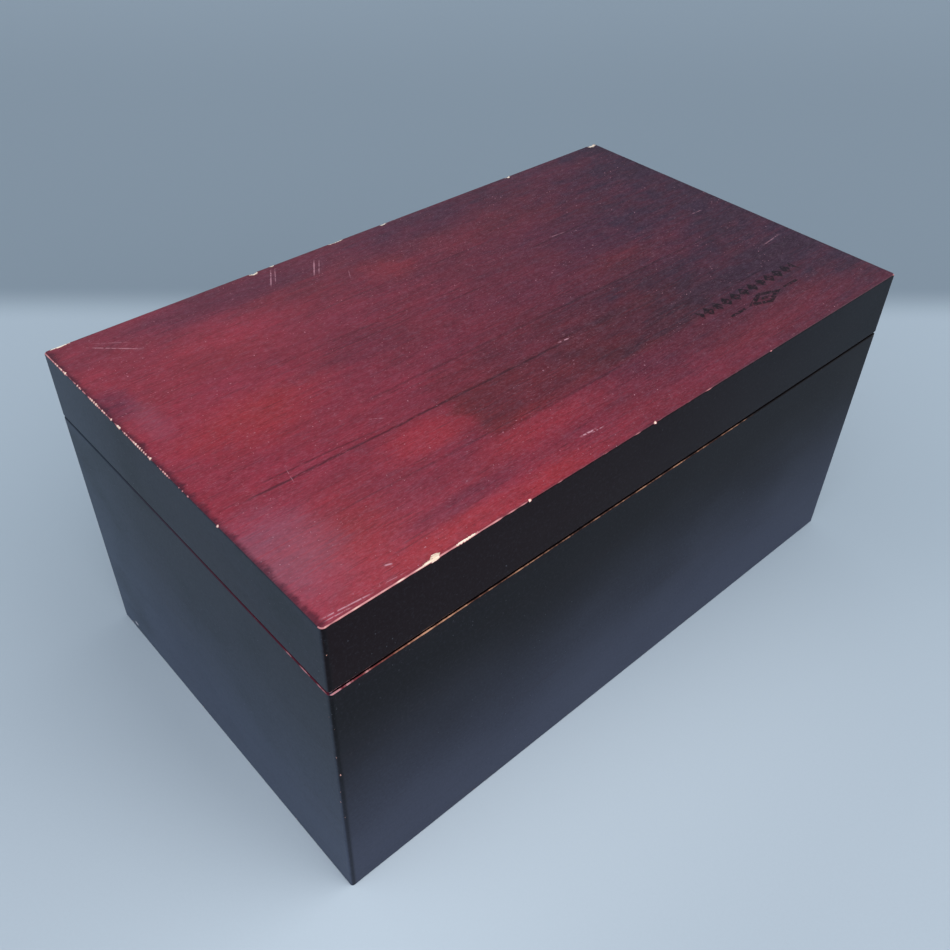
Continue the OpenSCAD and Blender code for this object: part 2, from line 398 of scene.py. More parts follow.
def stain_colour(shader, darkness, warmth):
    """The clear stain: three depths of colour, each from its cool to its warm shade."""
    light_stain = shader.mix(rgb(152, 48, 66), rgb(164, 46, 50), warmth.rise(-0.4, 0.8))
    middle_stain = shader.mix(rgb(104, 38, 56), rgb(118, 38, 42), warmth.rise(-0.4, 0.8))
    dark_stain = shader.mix(rgb(54, 32, 50), rgb(62, 29, 37), warmth.rise(-0.2, 0.9))
    colour = shader.mix(light_stain, middle_stain, darkness * 2.0)
    return shader.mix(colour, dark_stain, darkness * 2.0 - 1.0)


def with_open_grain(shader, colour, x, y, pores, tooth, mottle):
    """Adds dark pores and fine lines along the grain, and pale fibres that the stain missed."""
    colour = shader.mix(colour, rgb(44, 18, 28), pores * 0.40)
    colour = shader.mix(colour, rgb(24, 12, 20), tooth.fall(0.30, 0.55) * 0.34)
    fine_lines = shader.noise(x * 0.05, y * 1.5, 9.0, detail=4.0, roughness=0.6)
    colour = shader.mix(colour, rgb(22, 10, 16), fine_lines.rise(0.56, 0.70) * 0.40)
    colour = shader.mix(colour, rgb(14, 8, 12), mottle.fall(0.30, 0.60) * 0.22)
    colour = shader.mix(colour, rgb(176, 158, 172), tooth.rise(0.50, 0.72) * 0.14)
    veil = shader.noise(x * 0.22, y * 0.55, 6.0, detail=6.0, roughness=0.85)
    return shader.mix(colour, rgb(150, 140, 152), veil.rise(0.44, 0.70) * 0.045)


def cracks_along_grain(shader, x, y):
    """1 in the cracks and dark growth lines, broken up along their length."""
    wander = (shader.noise(x * 0.03, 0.0, detail=4.0) - 0.5) * 1.6
    ragged = shader.noise(x * 0.20, y * 1.5, 3.0, detail=3.0).rise(0.32, 0.48)
    return strongest([
        line(x, y, start, end, width, wander) * strength
        for start, end, width, strength in GRAIN_LINES
    ]) * ragged


def long_scratches(shader, x, y):
    """1 in the long scratches, broken up along their length."""
    broken = shader.noise(x * 0.6, y * 0.6, detail=2.0).rise(0.36, 0.50)
    return strongest([
        line(x, y, start, end, width) * strength
        for start, end, width, strength in SCRATCHES
    ]) * broken


def scuffs_and_specks(shader, x, y, z):
    """Hair scratches in two directions and small pale specks, thicker in some places."""
    hair = shader.noise(x * 0.22, y * 3.4, z, detail=2.0, roughness=0.7).rise(0.66, 0.74)
    hair_places = shader.noise(x * 0.04, y * 0.05, 7.0, detail=2.0).rise(0.46, 0.66)
    slanted = shader.noise((x + y) * 2.2, (x - y) * 0.26, 1.0, detail=2.0).rise(0.66, 0.73)
    specks = shader.noise(x * 1.1, y * 1.1, 3.0, detail=1.0).rise(0.715, 0.765)
    speck_places = shader.noise(x * 0.06, y * 0.06, 11.0, detail=2.0).rise(0.35, 0.65)
    return strongest([
        hair * hair_places * 0.40,
        slanted * hair_places * 0.34,
        specks * speck_places * 0.8,
    ])


def with_painted_reflection_and_dull_spots(shader, colour, x, y, streaks, mottle):
    """Adds a painted reflection at the left end, dulled spots and a faint painted highlight at the
    near corner.
    """
    # Painted reflection: a pale milky tint over the left end of the top
    painted_left_reflection = ellipse(shader, x, y, (-144.0, -58.0), (22.0, 26.0), mottle)
    painted_left_reflection = painted_left_reflection.most(ellipse(shader, x, y, (-143.0, 26.0), (7.0, 18.0), mottle) * 0.5)
    colour = shader.mix(colour, rgb(150, 122, 146), painted_left_reflection * 0.19 * streaks.rise(0.0, 0.6))
    dulled = shader.noise(x * 0.17, y * 0.34, 9.0, detail=3.0, roughness=0.7)
    colour = shader.mix(colour, rgb(160, 134, 156), dulled.rise(0.46, 0.72) * 0.05)
    colour = shader.mix(colour, rgb(30, 6, 14), dulled.fall(0.30, 0.50) * 0.11)
    # Painted highlight: a faint pale tint towards the near left corner
    painted_corner_highlight = x.fall(-150.0, -40.0) * y.fall(-84.0, -20.0)
    return shader.mix(colour, rgb(204, 150, 158), painted_corner_highlight * 0.045)


def with_crept_lacquer(shader, colour, x, y, mottle):
    """Adds black lacquer that crept over the edges from the sides, most at the left end."""
    left = x + HALF_WIDTH
    creep = (left - mottle.rise(0.40, 0.80) * 3.0).fall(-0.5, 2.4)
    others = (HALF_DEPTH - abs(y)).least(HALF_WIDTH - x)
    creep = creep.most((others - mottle.rise(0.5, 0.8) * 1.2).fall(0.0, 1.2) * 0.6)
    return shader.mix(colour, rgb(38, 18, 32), creep * 0.70)


def flaked_places(shader, x, y):
    """1 where the finish has flaked off the top beside an edge."""
    jagged = shader.noise(x * 1.1, y * 1.4, 4.0, detail=3.0, roughness=0.7)
    return strongest([
        ellipse(shader, x, y, middle, half_size, jagged * 2.0 - 0.5).rise(0.35, 0.50)
        for middle, half_size in FLAKES
    ])


def red_stained_top():
    """Red stain over pale timber, darker towards the right and the back, with old scratches."""
    shader = Shader("red_stained_wood")
    x, y, z = shader.place()
    streaks, figure, pores = grain(shader, x, y, z)
    cloud = shader.noise(x * 0.022, y * 0.040, detail=4.0, roughness=0.60)
    mottle = shader.noise(x * 0.09, y * 0.16, detail=5.0, roughness=0.65)
    tooth = shader.noise(x * 0.5, y * 1.6, detail=4.0, roughness=0.8)

    darkness, warmth = stain_strength(shader, x, y, streaks, figure, cloud, mottle)
    colour = stain_colour(shader, darkness, warmth)
    colour = with_open_grain(shader, colour, x, y, pores, tooth, mottle)
    crack = cracks_along_grain(shader, x, y)
    colour = shader.mix(colour, rgb(34, 18, 26), crack)
    scratch = long_scratches(shader, x, y)
    pale_marks = (scratch * 0.85).most(scuffs_and_specks(shader, x, y, z))
    colour = shader.mix(colour, rgb(206, 150, 160), pale_marks)
    # Painted reflection at the left end, painted highlight at the near corner, and dulled spots
    colour = with_painted_reflection_and_dull_spots(shader, colour, x, y, streaks, mottle)
    colour = with_crept_lacquer(shader, colour, x, y, mottle)
    colour = with_ornament(shader, colour, x, y)

    flakes = flaked_places(shader, x, y)
    bare = shader.attribute("bare").most(flakes)
    colour = with_bare_wood(shader, colour, bare, streaks)
    height = streaks * 0.020 + tooth * 0.006 - pores * 0.02 - crack * 0.05 - flakes * 0.08
    rough = 0.40 + (cloud - 0.5) * 0.10 + (tooth - 0.5) * 0.14 + scratch * 0.2 + bare * 0.3
    return shader.surface(colour, rough, height, specular=0.18)


def with_bare_wood(shader, colour, bare, streaks):
    """Shows stained edges, lightened partly as a painted highlight, and pale timber where the
    finish is worn away.
    """
    pale = shader.mix(BARE_WOOD_DARK, BARE_WOOD, streaks.rise(0.3, 0.6))
    pale = shader.mix(STAINED_EDGE_AND_HIGHLIGHT, pale, bare.rise(0.45, 0.85))
    return shader.mix(colour, pale, bare.rise(0.05, 0.40))


def with_ornament(shader, colour, x, y):
    """Adds a faded printed row of lozenges with a centre piece below, near the right front."""
    middle = Vector((92.0, -56.0))
    pitch, half_row, tall = 6.0, 33.0, 3.2
    centre_width, centre_tall, drop = 12.0, 4.4, 8.6
    u = x - middle.x
    in_row = abs(u).fall(half_row - 0.2, half_row)
    cell = abs((u / pitch).wrapped() - 0.5) * 2.0
    lozenges = (cell + abs(y - middle.y) / tall).fall(0.92, 1.02) * in_row
    lower = abs(y - middle.y + drop)
    spread = abs(u) / centre_width + lower / centre_tall
    centre_piece = spread.fall(0.92, 1.0) * spread.rise(0.46, 0.54)
    bead = spread.fall(0.22, 0.30)
    rules = lower.fall(0.65, 0.85) * abs(u).rise(13.5, 13.8) * abs(u).fall(23.0, 23.3)
    ink = strongest([lozenges, centre_piece, bead, rules])
    worn = shader.noise(x * 0.7, y * 0.7, 5.0, detail=3.0).rise(0.32, 0.54)
    return shader.mix(colour, rgb(16, 11, 16), ink * worn * 0.86)


def lacquer_colour(shader, x, y, z, cloud, fine, figure, for_base):
    """Almost black at the top, with painted reflections in slate towards the bottom and on the left
    end.
    """
    uneven = (cloud - 0.5) * 24.0 + (fine - 0.5) * 16.0
    low = (z + uneven).fall(0.0, BASE_TOP)
    black = shader.mix(rgb(17, 4, 8), rgb(15, 15, 21), (x + uneven).rise(-60.0, 150.0))
    if for_base:
        # Painted reflection of the floor: the base lightens to slate towards the bottom
        black = shader.mix(rgb(14, 13, 18), rgb(52, 56, 72), (z + uneven).fall(0.0, 108.0))
    left_end = x.fall(-HALF_WIDTH, 0.6 - HALF_WIDTH)
    # Painted reflection on the left end: slate, lighter towards the bottom and the back
    slate = shader.mix(rgb(52, 58, 68), rgb(64, 72, 90), low)
    slate = shader.mix(slate, rgb(78, 90, 106), y.rise(20.0, 96.0) * 0.5)
    slate = shader.mix(slate, rgb(38, 46, 48), cloud.rise(0.50, 0.70) * 0.35)
    black = shader.mix(black, slate, left_end * (0.75 + (cloud - 0.5) * 0.3))
    near_corner = (HALF_WIDTH + x) + (HALF_DEPTH + y) * 3.0
    black = shader.mix(black, rgb(6, 7, 11), near_corner.fall(0.9, 2.6) * 0.75)
    nick = ellipse(shader, y, z, (77.0, 4.4), (2.0, 1.1), fine) * left_end
    black = shader.mix(black, rgb(196, 190, 194), nick * 0.9)
    black = shader.mix(black, rgb(30, 18, 22), figure.rise(0.5, 0.8) * 0.15)
    dust = shader.noise(x * 0.7, y * 0.7, z * 0.7, detail=5.0, roughness=0.8)
    black = shader.mix(black, rgb(104, 110, 124), dust.rise(0.50, 0.72) * 0.08)
    black = shader.mix(black, rgb(4, 4, 7), dust.fall(0.28, 0.50) * 0.32)
    specks = shader.noise(x * 1.1, y * 1.1, z * 1.1, detail=1.0).rise(0.735, 0.785)
    return shader.mix(black, rgb(150, 156, 168), specks * cloud.rise(0.42, 0.62) * 0.35)


def inside_stain(shader, streaks, pores, past_mitre):
    """Thin red-brown stain, with a dark glue line along the mitres."""
    stain = shader.mix(rgb(112, 44, 36), rgb(66, 26, 24), streaks.rise(0.3, 0.7))
    stain = shader.mix(stain, rgb(40, 18, 18), pores * 0.5)
    return shader.mix(stain, rgb(26, 12, 12), abs(past_mitre).fall(0.10, 0.35) * 0.8)


def with_small_chips(shader, colour, x, y, z, corner, bottom_edge, fine):
    """Adds small chips along the upright corners and the bottom edge, and says where they are."""
    chip_noise = shader.noise(x * 0.5, y * 0.5, z * 0.35, detail=3.0, roughness=0.7)
    edge = corner.least(bottom_edge)
    chipped = (edge - chip_noise.rise(0.62, 0.80) * 2.2).fall(0.1, 0.4) * edge.fall(2.0, 3.0)
    # Chips show the worn stain colour, which holds part of a painted highlight, or pale wood
    chip_colour = shader.mix(STAINED_EDGE_AND_HIGHLIGHT, BARE_WOOD_DARK, fine)
    return shader.mix(colour, chip_colour, chipped * 0.8), chipped


def lacquered_wood(name, rim_level, into_rim):
    """Black lacquer outside, red-brown stain inside, and worn edges at the seam.

    rim_level is the height of the face at the seam, and into_rim is 1 for a piece above it
    and -1 for a piece below it.
    """
    shader = Shader(name)
    x, y, z = shader.place()
    from_end, from_side = HALF_WIDTH - abs(x), HALF_DEPTH - abs(y)
    depth = from_end.least(from_side)
    past_mitre = from_side - from_end
    on_end_wall = past_mitre.rise(-0.02, 0.02)
    # The shift keeps the grain of the end walls apart from that of the long walls
    along = shader.blend(x, y + 700.0, on_end_wall)
    streaks, figure, pores = grain(shader, along, z + depth, 0.0)
    cloud = shader.noise(x * 0.02, y * 0.02, z * 0.03, detail=4.0)
    fine = shader.noise(x * 0.9, y * 0.9, z * 0.9, detail=4.0, roughness=0.65)

    black = lacquer_colour(shader, x, y, z, cloud, fine, figure, into_rim < 0)
    stain = inside_stain(shader, streaks, pores, past_mitre)
    inside = depth.rise(0.75, 0.95)
    colour = shader.mix(black, stain, inside)

    # The face at the seam: black lacquer wraps over its outer edge, painted light in slate at the
    # left end, maroon to the front
    from_rim = (z - rim_level) * into_rim
    towards_front = y.fall(-70.0, 60.0) * x.fall(-20.0, 0.0)
    over_left_end = x.fall(1.6 - HALF_WIDTH, 2.4 - HALF_WIDTH)
    # Painted light: slate instead of near black on the rim face at the left end
    wrapped = shader.mix(rgb(14, 7, 8), rgb(52, 58, 68), over_left_end)
    rim_paint = shader.mix(wrapped, rgb(84, 30, 44), towards_front * on_end_wall)
    rim_colour = shader.mix(rim_paint, stain, depth.rise(1.5, 3.0))
    colour = shader.mix(colour, rim_colour, from_rim.fall(0.10, 0.30))

    # Its outer edge, worn through in places to pink at the left end and to tan along the front
    rub = shader.noise(along * 0.12, z * 0.02, detail=4.0, roughness=0.7)
    on_front = y.fall(0.6 - HALF_DEPTH, 1.2 - HALF_DEPTH)
    front_wear = x.fall(40.0, 100.0) + x.fall(-150.0, -60.0) * 0.2
    wear = shader.blend(towards_front * 0.95, front_wear, on_front)
    reach = wear * 0.40 - 0.17 + (rub - 0.5) * 0.34
    worn = (from_rim + depth - reach).fall(0.0, 0.14)
    tan = shader.mix(rgb(124, 74, 56), rgb(196, 142, 112), rub.rise(0.38, 0.64))
    pink = shader.mix(rgb(108, 34, 46), rgb(190, 128, 132), rub.rise(0.52, 0.60))
    worn_colour = shader.mix(pink, tan, on_front * x.rise(-150.0, -110.0))
    colour = shader.mix(colour, worn_colour, worn)

    corner, bottom_edge = from_end + from_side, z + depth
    colour, chipped = with_small_chips(shader, colour, x, y, z, corner, bottom_edge, fine)
    colour = with_bare_wood(shader, colour, shader.attribute("bare"), streaks)
    rough = 0.44 + (cloud - 0.5) * 0.10 + (fine - 0.5) * 0.10 + inside * 0.15 + worn * 0.2
    height = streaks * 0.010 + fine * 0.010 - chipped * 0.05 - pores * inside * 0.02
    return shader.surface(colour, rough, height, specular=0.08)


def bare_timber():
    shader = Shader("bare_wood")
    x, y, z = shader.place()
    streaks, figure, pores = grain(shader, x, y, z)
    colour = shader.mix(rgb(206, 170, 122), rgb(168, 122, 80), streaks.rise(0.3, 0.7))
    colour = shader.mix(colour, rgb(150, 104, 64), figure.rise(0.45, 0.7) * 0.5)
    colour = shader.mix(colour, rgb(110, 72, 42), pores * 0.5)
    return shader.surface(colour, 0.62 + (streaks - 0.5) * 0.1, streaks * 0.02 - pores * 0.03)


# ---- Other materials ----


def felt():
    shader = Shader("felt")
    x, y, z = shader.place()
    fibre = shader.noise(x * 2.2, y * 2.2, z * 2.2, detail=5.0, roughness=0.7, distortion=1.5)
    cloud = shader.noise(x * 0.03, y * 0.03, z * 0.03, detail=3.0)
    colour = shader.mix(rgb(18, 18, 21), rgb(58, 57, 62), fibre.rise(0.25, 0.75))
    colour = shader.mix(colour, rgb(66, 62, 64), cloud.rise(0.5, 0.8) * 0.3)
    lint = shader.noise(x * 0.9, y * 0.9, z * 0.9, detail=2.0, distortion=2.5).rise(0.70, 0.76)
    colour = shader.mix(colour, rgb(120, 116, 112), lint * 0.35)
    return shader.surface(colour, 0.95, fibre * 0.25, sheen=0.3, specular=0.1)


def hinge_brass():
    shader = Shader("hinge_brass")
    x, y, z = shader.place()
    brushed = shader.noise(x * 0.4, y * 9.0, z * 9.0, detail=3.0, roughness=0.6)
    tarnish = shader.noise(x * 0.14, y * 0.2, z * 0.2, detail=4.0)
    spots = shader.noise(x * 1.1, y * 1.1, z * 1.1, detail=3.0).rise(0.62, 0.74)
    colour = shader.mix(rgb(214, 176, 98), rgb(150, 112, 58), tarnish.rise(0.42, 0.68))
    colour = shader.mix(colour, rgb(84, 62, 38), spots * 0.5)
    rough = 0.28 + tarnish * 0.18 + spots * 0.2
    return shader.surface(colour, rough, brushed * 0.012, metallic=1.0)


def pin_steel():
    shader = Shader("pin_steel")
    x, y, z = shader.place()
    drawn = shader.noise(x * 0.3, y * 12.0, z * 12.0, detail=3.0)
    grime = shader.noise(x * 0.7, y * 0.7, z * 0.7, detail=3.0).rise(0.5, 0.7)
    colour = shader.mix(rgb(178, 176, 168), rgb(92, 84, 74), grime * 0.6)
    return shader.surface(colour, 0.3 + drawn * 0.15, drawn * 0.006, metallic=1.0)


red_top = red_stained_top()
base_lacquer = lacquered_wood("base_black_lacquer", BASE_TOP, -1.0)
lid_lacquer = lacquered_wood("lid_black_lacquer", LID_BOTTOM, 1.0)
pale_timber = bare_timber()
dark_felt = felt()
brass = hinge_brass()
steel = pin_steel()

# Materials and the nodes that they go on
FINISHES = (
    (base_lacquer, ("base_front_wall", "base_back_wall", "base_left_wall", "base_right_wall")),
    (lid_lacquer, ("lid_front_rail", "lid_back_rail", "lid_left_rail", "lid_right_rail")),
    (red_top, ("lid_panel",)),
    (pale_timber, ("base_corner_tongues", "lid_corner_tongues", "bottom_panel")),
    (dark_felt, ("bottom_lining", "lid_lining", "rim_dots")),
    (brass, ("left_hinge_base_leaf", "left_hinge_lid_leaf")),
    (brass, ("right_hinge_base_leaf", "right_hinge_lid_leaf")),
    (brass, ("base_hinge_screws", "lid_hinge_screws")),
    (steel, ("left_hinge_pin", "right_hinge_pin")),
)

for material, names in FINISHES:
    for name in names:
        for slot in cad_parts[name].material_slots:
            slot.link = "OBJECT"
            slot.material = material

# ---- The lid panel, with its worn and chipped top edge ----

# Length of one step along the edge
EDGE_STEP = 0.45
# Radius of the four upright corners, and of the edge round the top face
CORNER_ROUND = 1.6
EDGE_ROUND = 0.7
# Steps in the rounding from the side to the top face
ARC_STEPS = 6
# Insets of the rings on the top face, measured from the side
TOP_RINGS = (0.95, 1.25, 1.6, 2.0, 2.5, 3.2, 4.5)
# Depths of the rings on the side, measured down from the top face
SIDE_RINGS = (2.6, 2.0, 1.6, 1.25, 0.95)
# How many steps of the fine rings meet one step of the coarse ring, and how far inside it lies
COARSE = 8
COARSE_GAP = 3.0
# How deep the edge has to be cut before the wood shows fully bare
FULLY_BARE = 0.20

# Chips that stand out: side, place along it from the middle, half length, size
NOTED_CHIPS = (
    ("front", -111.5, 2.4, 0.90),
    ("front", -99.0, 5.2, 0.60),
    ("front", -71.0, 0.8, 0.70),
    ("front", -9.0, 1.0, 0.72),
    ("front", 61.0, 0.8, 0.52),
    ("back", -61.0, 2.2, 1.3),
    ("back", -18.0, 4.6, 0.9),
    ("back", 9.0, 1.8, 0.9),
    ("back", 88.0, 1.8, 0.9),
    ("back", 150.0, 2.6, 1.3),
    ("left", 72.0, 1.6, 0.70),
    ("left", 48.0, 9.0, 0.54),
    ("left", 30.0, 1.4, 0.70),
    ("left", 17.0, 10.0, 0.55),
    ("left", 8.0, 1.4, 0.68),
    ("left", -3.0, 6.0, 0.50),
)
# How many small chips each side gets
SMALL_CHIPS = {"front": 0, "back": 10, "left": 70, "right": 8}
# How much is worn off the edge along each side, and at the corners
SIDE_WEAR = {"front": 0.42, "left": 0.38, "back": 0.36, "right": 0.34}
CORNER_WEAR = 0.50

# Straight in from each side, and towards the middle at a corner
INWARD = {"front": (0, 1), "back": (0, -1), "left": (1, 0), "right": (-1, 0)}
CORNER_INWARD = 0.7


def outline(inset):
    """Points round the box at an inset, as (x, y, side, place along the side)."""
    radius = max(CORNER_ROUND - inset, 0.02)
    far_x, far_y = HALF_WIDTH - inset - radius, HALF_DEPTH - inset - radius
    reach_x, reach_y = HALF_WIDTH - CORNER_ROUND, HALF_DEPTH - CORNER_ROUND
    steps_x = COARSE * round(2 * reach_x / EDGE_STEP / COARSE)
    steps_y = COARSE * round(2 * reach_y / EDGE_STEP / COARSE)
    points = []
    # (corner centre, first angle, side that starts after the corner, steps on it)
    runs = (
        ((-far_x, -far_y), 180, "front", steps_x),
        ((far_x, -far_y), 270, "right", steps_y),
        ((far_x, far_y), 0, "back", steps_x),
        ((-far_x, far_y), 90, "left", steps_y),
    )
    for turn, ((cx, cy), first, side, steps) in enumerate(runs):
        for i in range(COARSE):
            angle = math.radians(first + 90 * i / COARSE)
            px, py = cx + radius * math.cos(angle), cy + radius * math.sin(angle)
            points.append((px, py, side if i > COARSE / 2 else None, None))
        (nx, ny) = runs[(turn + 1) % 4][0]
        last = math.radians(first + 90)
        start = (cx + radius * math.cos(last), cy + radius * math.sin(last))
        end = (nx + radius * math.cos(last), ny + radius * math.sin(last))
        for i in range(steps):
            share = i / steps
            px = start[0] + (end[0] - start[0]) * share
            py = start[1] + (end[1] - start[1]) * share
            place = px if side in ("front", "back") else py
            points.append((px, py, side, place))
    return points


def chip_list():
    """All chips with a fixed random choice of the small ones."""
    rng = random.Random(41)
    chips = {side: [] for side in SMALL_CHIPS}
    for side, place, half_length, size in NOTED_CHIPS:
        chips[side].append((place, half_length, size))
    for side, count in SMALL_CHIPS.items():
        reach = HALF_WIDTH if side in ("front", "back") else HALF_DEPTH
        for _ in range(count):
            place = rng.uniform(-reach, reach)
            # On the left they crowd towards the back corner
            if side == "left":
                place = reach - abs(rng.gauss(0, reach * 0.7))
            half_length = rng.uniform(0.3, 0.9)
            chips[side].append((place, half_length, rng.uniform(0.44, 0.60)))
    return chips


def worn_amount(side, place, chips, waves):
    """How much is worn off the edge at a place: the size of the bevel, in millimetres."""
    if place is None:
        return CORNER_WEAR
    amount = 0.0
    for centre, half_length, size in chips[side]:
        share = abs(place - centre) / half_length
        if share < 1:
            ragged = 1 + 0.18 * math.sin(place * 9.1 + centre) + 0.12 * math.sin(place * 4.3)
            amount = max(amount, size * math.sqrt(1 - share * share) * ragged)
    rubbed = 0.0
    for frequency, phase, weight in waves[side]:
        rubbed += weight * math.sin(place * frequency + phase)
    base = SIDE_WEAR[side]
    # More wear near the front left corner and in the back half of the left side
    if side == "front":
        base += 0.11 * min(max((-70 - place) / 25, 0), 1)
        base -= 0.06 * min(max((place - 40) / 40, 0), 1)
    if side == "left":
        base += 0.07 * min(max((place + 20) / 30, 0), 1)
        base += 0.06 * min(max((place - 66) / 10, 0), 1)
    return max(amount, base + rubbed * 0.016)


def ring_profile():
    """The rings round the panel, from its lower edge up and in, as (inset, depth below the top)."""
    rings = [(0.0, TOP - RAIL_TOP)]
    rings += [(0.0, down) for down in SIDE_RINGS]
    for i in range(ARC_STEPS + 1):
        angle = math.radians(90 * i / ARC_STEPS)
        rings.append((EDGE_ROUND * (1 - math.cos(angle)), EDGE_ROUND * (1 - math.sin(angle))))
    return rings + [(inset, 0.0) for inset in TOP_RINGS]


def edge_waves(rng, count):
    """Random waves along an edge: a frequency, a phase and a weight each."""
    return [
        (rng.uniform(0.05, 1.9), rng.uniform(0, FULL_TURN), rng.uniform(0.4, 1))
        for _ in range(count)
    ]


def worn_rings(rings, base):
    """Vertices of the rings with the chips cut in, and how bare the wood is at each."""
    chips = chip_list()
    rng = random.Random(7)
    waves = {side: edge_waves(rng, 9) for side in SMALL_CHIPS}
    wear = [worn_amount(side, place, chips, waves) for _, _, side, place in base]
    vertices, bare = [], []
    for ring, (inset, down) in enumerate(rings):
        for i, (px, py, side, place) in enumerate(outline(inset)):
            lift = wear[i] - (inset + down)
            moved, open_wood = 0.0, 0.0
            if lift > 0 and ring > 0:
                rough = 0.04 * math.sin(i * 2.7 + inset * 31) + 0.04 * math.sin(i * 1.3 + down * 17)
                moved = lift / 2 + rough * min(lift, 0.5)
                open_wood = min(1.0, lift / FULLY_BARE)
            if place is None:
                inward = (-math.copysign(CORNER_INWARD, px), -math.copysign(CORNER_INWARD, py))
            else:
                inward = INWARD[side]
            vertices.append((
                (px + inward[0] * moved) * MM,
                (py + inward[1] * moved) * MM,
                (TOP - down - moved) * MM,
            ))
            bare.append(open_wood)
    return vertices, bare


def close_top(vertices, bare, faces, last, count):
    """Adds one coarser ring inside the last one, then a single flat face."""
    first_coarse = len(vertices)
    coarse_outline = outline(TOP_RINGS[-1] + COARSE_GAP)[::COARSE]
    for px, py, _, _ in coarse_outline:
        vertices.append((px * MM, py * MM, TOP * MM))
        bare.append(0.0)
    coarse_count = len(coarse_outline)
    for k in range(coarse_count):
        here, there = first_coarse + k, first_coarse + (k + 1) % coarse_count
        for i in range(COARSE):
            a = last + (k * COARSE + i) % count
            b = last + (k * COARSE + i + 1) % count
            faces.append((a, b, here if i < COARSE // 2 else there))
        middle = last + (k * COARSE + COARSE // 2) % count
        faces.append((middle, there, here))
    faces.append(tuple(first_coarse + k for k in range(coarse_count)))


def close_underside(vertices, bare, faces, base):
    """Adds the lip that lies on the rails, and the step that drops between them."""
    count = len(base)
    far_x, far_y = HALF_WIDTH - WALL, HALF_DEPTH - WALL
    inner = [(-far_x, -far_y), (far_x, -far_y), (far_x, far_y), (-far_x, far_y)]
    lip = len(vertices)
    for level in (RAIL_TOP, PANEL_UNDERSIDE):
        for px, py in inner:
            vertices.append((px * MM, py * MM, level * MM))
            bare.append(0.0)
    corner_starts = corner_indices(base)
    for c in range(4):
        here, there = corner_starts[c], corner_starts[(c + 1) % 4]
        if there <= here:
            there += count
        arc = [i % count for i in range(here, there + 1)]
        faces.append(tuple(reversed(arc)) + (lip + c, lip + (c + 1) % 4))
        faces.append((lip + c, lip + 4 + c, lip + 4 + (c + 1) % 4, lip + (c + 1) % 4))
    faces.append((lip + 7, lip + 6, lip + 5, lip + 4))


def build_lid_panel():
    """The panel as one closed mesh. Its edge is bevelled away where it is chipped."""
    rings = ring_profile()
    base = outline(0.0)
    count = len(base)
    vertices, bare = worn_rings(rings, base)
    faces = []
    for ring in range(len(rings) - 1):
        for i in range(count):
            j = (i + 1) % count
            low, high = ring * count, (ring + 1) * count
            faces.append((low + i, low + j, high + j, high + i))
    side_faces = count * (1 + len(SIDE_RINGS) + ARC_STEPS // 2)
    close_top(vertices, bare, faces, (len(rings) - 1) * count, count)
    first_below = len(faces)
    close_underside(vertices, bare, faces, base)
    below = len(faces) - first_below
    slots = [1] * side_faces + [0] * (first_below - side_faces) + [1] * below

    mesh = bpy.data.meshes.new("worn_lid_panel")
    mesh.from_pydata(vertices, [], faces)
    mesh.materials.append(red_top)
    mesh.materials.append(lid_lacquer)
    mesh.polygons.foreach_set("material_index", slots)
    mesh.polygons.foreach_set("use_smooth", [True] * len(faces))
    attribute = mesh.attributes.new("bare", "FLOAT", "POINT")
    attribute.data.foreach_set("value", bare)
    mesh.update()
    mesh.set_sharp_from_angle(angle=math.radians(32))
    panel = bpy.data.objects.new("worn_lid_panel", mesh)
    bpy.context.scene.collection.objects.link(panel)
    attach(panel, "lid")
    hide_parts("lid_panel")


def corner_indices(points):
    """Where each corner's rounding is half way round, for the four corners in turn."""
    starts, count = [], len(points)
    for i in range(count):
        if points[i][3] is None and points[i - 1][3] is not None:
            starts.append((i + COARSE // 2) % count)
    return starts


build_lid_panel()

# ---- Felt ----

# Size of a grid cell in the middle of a sheet
FELT_CELL = 4.0
# Insets of the first grid lines from a sheet's side, and how full the sheet is at each
FELT_EDGE = ((0.0, 0.45), (0.15, 0.70), (0.4, 0.88), (0.8, 0.97), (1.4, 1.0))


def grid_lines(low, high):
    """Places of grid lines from low to high, close together at both ends."""
    insets = [inset for inset, _ in FELT_EDGE]
    inner_low, inner_high = low + insets[-1], high - insets[-1]
    cells = round((inner_high - inner_low) / FELT_CELL)
    middle = [inner_low + (inner_high - inner_low) * i / cells for i in range(1, cells)]
    return [low + inset for inset in insets] + middle + [high - inset for inset in reversed(insets)]


def fullness(place, low, high):
    """Share of the full thickness at a place, lower beside the cut sides."""
    distance = min(place - low, high - place)
    for (inset, share), (next_inset, next_share) in zip(FELT_EDGE, FELT_EDGE[1:]):
        if distance < next_inset:
            return share + (next_share - share) * (distance - inset) / (next_inset - inset)
    return 1.0


def slow_waves(rng, count, reach):
    """Random long waves for an uneven surface: two frequencies, a phase and a weight each."""
    waves = []
    for _ in range(count):
        frequency_x, frequency_y = rng.uniform(-reach, reach), rng.uniform(-reach, reach)
        waves.append((frequency_x, frequency_y, rng.uniform(0, FULL_TURN), rng.uniform(0.4, 1)))
    return waves


def felt_object(name, node, body, vertices, faces):
    """Makes a felt piece that stands for a CAD node. Vertices are in millimetres."""
    mesh = bpy.data.meshes.new(name)
    mesh.from_pydata([(vx * MM, vy * MM, vz * MM) for vx, vy, vz in vertices], [], faces)
    mesh.materials.append(dark_felt)
    mesh.polygons.foreach_set("use_smooth", [True] * len(faces))
    mesh.update()
    mesh.set_sharp_from_angle(angle=math.radians(50))
    piece = bpy.data.objects.new(name, mesh)
    bpy.context.scene.collection.objects.link(piece)
    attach(piece, body)
    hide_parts(node)


